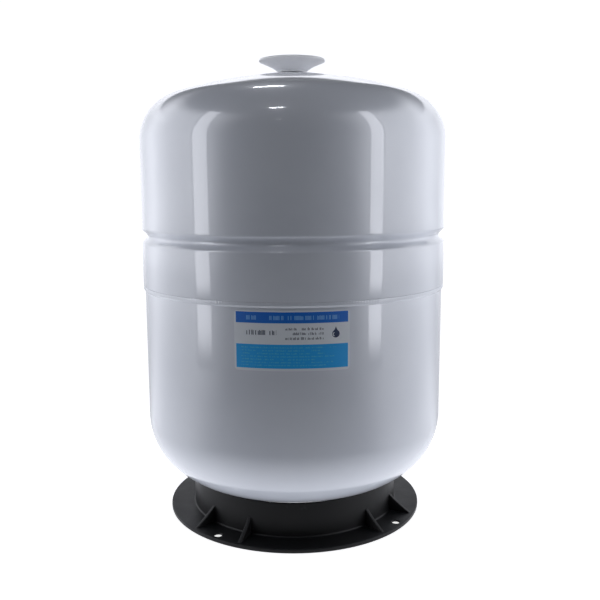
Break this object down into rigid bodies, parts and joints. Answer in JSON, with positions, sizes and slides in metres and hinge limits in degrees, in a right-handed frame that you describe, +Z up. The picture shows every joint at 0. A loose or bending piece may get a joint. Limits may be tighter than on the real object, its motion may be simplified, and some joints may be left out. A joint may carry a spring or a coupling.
{
  "type": "expansion vessel",
  "caption": "Upright white steel diaphragm vessel with a capped water port on its domed top, a rolled bead, a welded waist seam, a rear air valve and a black ring stand.",
  "frame": {"origin": "centre of the stand's underside, on the floor and on the tank's axis", "axes": "+Z up along the tank's axis, -Y towards the label, +Y towards the air valve, +X to the right of someone facing the label"},
  "size_m": [0.23, 0.23, 0.3456],
  "materials": {
    "white_enamel": "smooth high-gloss white baked enamel",
    "cap_plastic": "moulded white polyethylene, semi-gloss",
    "stand_plastic": "moulded black polypropylene, fine grain, satin",
    "valve_cap_plastic": "moulded blue plastic, satin",
    "liner_plastic": "natural translucent polypropylene",
    "seal_plastic": "white PTFE",
    "stainless": "turned stainless steel",
    "clench_steel": "rolled steel, zinc coated",
    "spring_steel": "bright drawn wire",
    "valve_brass": "machined brass",
    "black_rubber": "matt butyl and nitrile rubber",
    "label_vinyl": "printed blue and white vinyl with a clear gloss film"
  },
  "bodies": {
    "tank": {"upper_shell": "white_enamel", "lower_shell": "white_enamel", "seam_weld": "white_enamel", "liner": "liner_plastic", "clench_ring": "clench_steel", "water_port": "stainless", "port_o_ring": "black_rubber", "port_lock_ring": "stainless", "base_stand": "stand_plastic", "front_label": "label_vinyl", "valve_boss": "white_enamel", "valve_body_o_ring": "black_rubber", "valve_body": "valve_brass", "core_barrel": "valve_brass", "core_seal": "seal_plastic", "core_spring": "spring_steel"},
    "port_cap_body": {"port_cap": "cap_plastic"},
    "diaphragm_body": {"diaphragm": "black_rubber"},
    "valve_pin_body": {"core_pin": "spring_steel", "core_pin_seal": "black_rubber"},
    "valve_cap_carrier": {"valve_cap_seal": "black_rubber"},
    "valve_cap_body": {"valve_cap": "valve_cap_plastic"}
  },
  "joints": [
    {"name": "port_cap_pull", "type": "slide", "parent": "tank", "child": "port_cap_body", "axis": [0, 0, 1], "range_m": [0, 0.03]},
    {"name": "diaphragm_fill", "type": "slide", "parent": "tank", "child": "diaphragm_body", "axis": [0, 0, -1], "range_m": [0, 0.19], "stiffness_N_per_m": 200, "springref_m": -0.05, "deforming": ["diaphragm"]},
    {"name": "valve_pin_press", "type": "slide", "parent": "tank", "child": "valve_pin_body", "axis": [0, -0.6691, 0.7431], "range_m": [0, 0.0015], "stiffness_N_per_m": 1000, "springref_m": -0.002, "deforming": ["core_spring"]},
    {"name": "valve_cap_lift", "type": "slide", "parent": "tank", "child": "valve_cap_carrier", "axis": [0, 0.6691, -0.7431], "range_m": [0, 0.00397]},
    {"name": "valve_cap_turn", "type": "hinge", "parent": "valve_cap_carrier", "child": "valve_cap_body", "pos_m": [0, 0.09683, 0.0395], "axis": [0, 0.6691, -0.7431], "range_deg": [0, 1800]}
  ],
  "couplings": [
    {"joint": "valve_cap_turn", "follows": "valve_cap_lift", "rad_per_m": 7913.3}
  ]
}
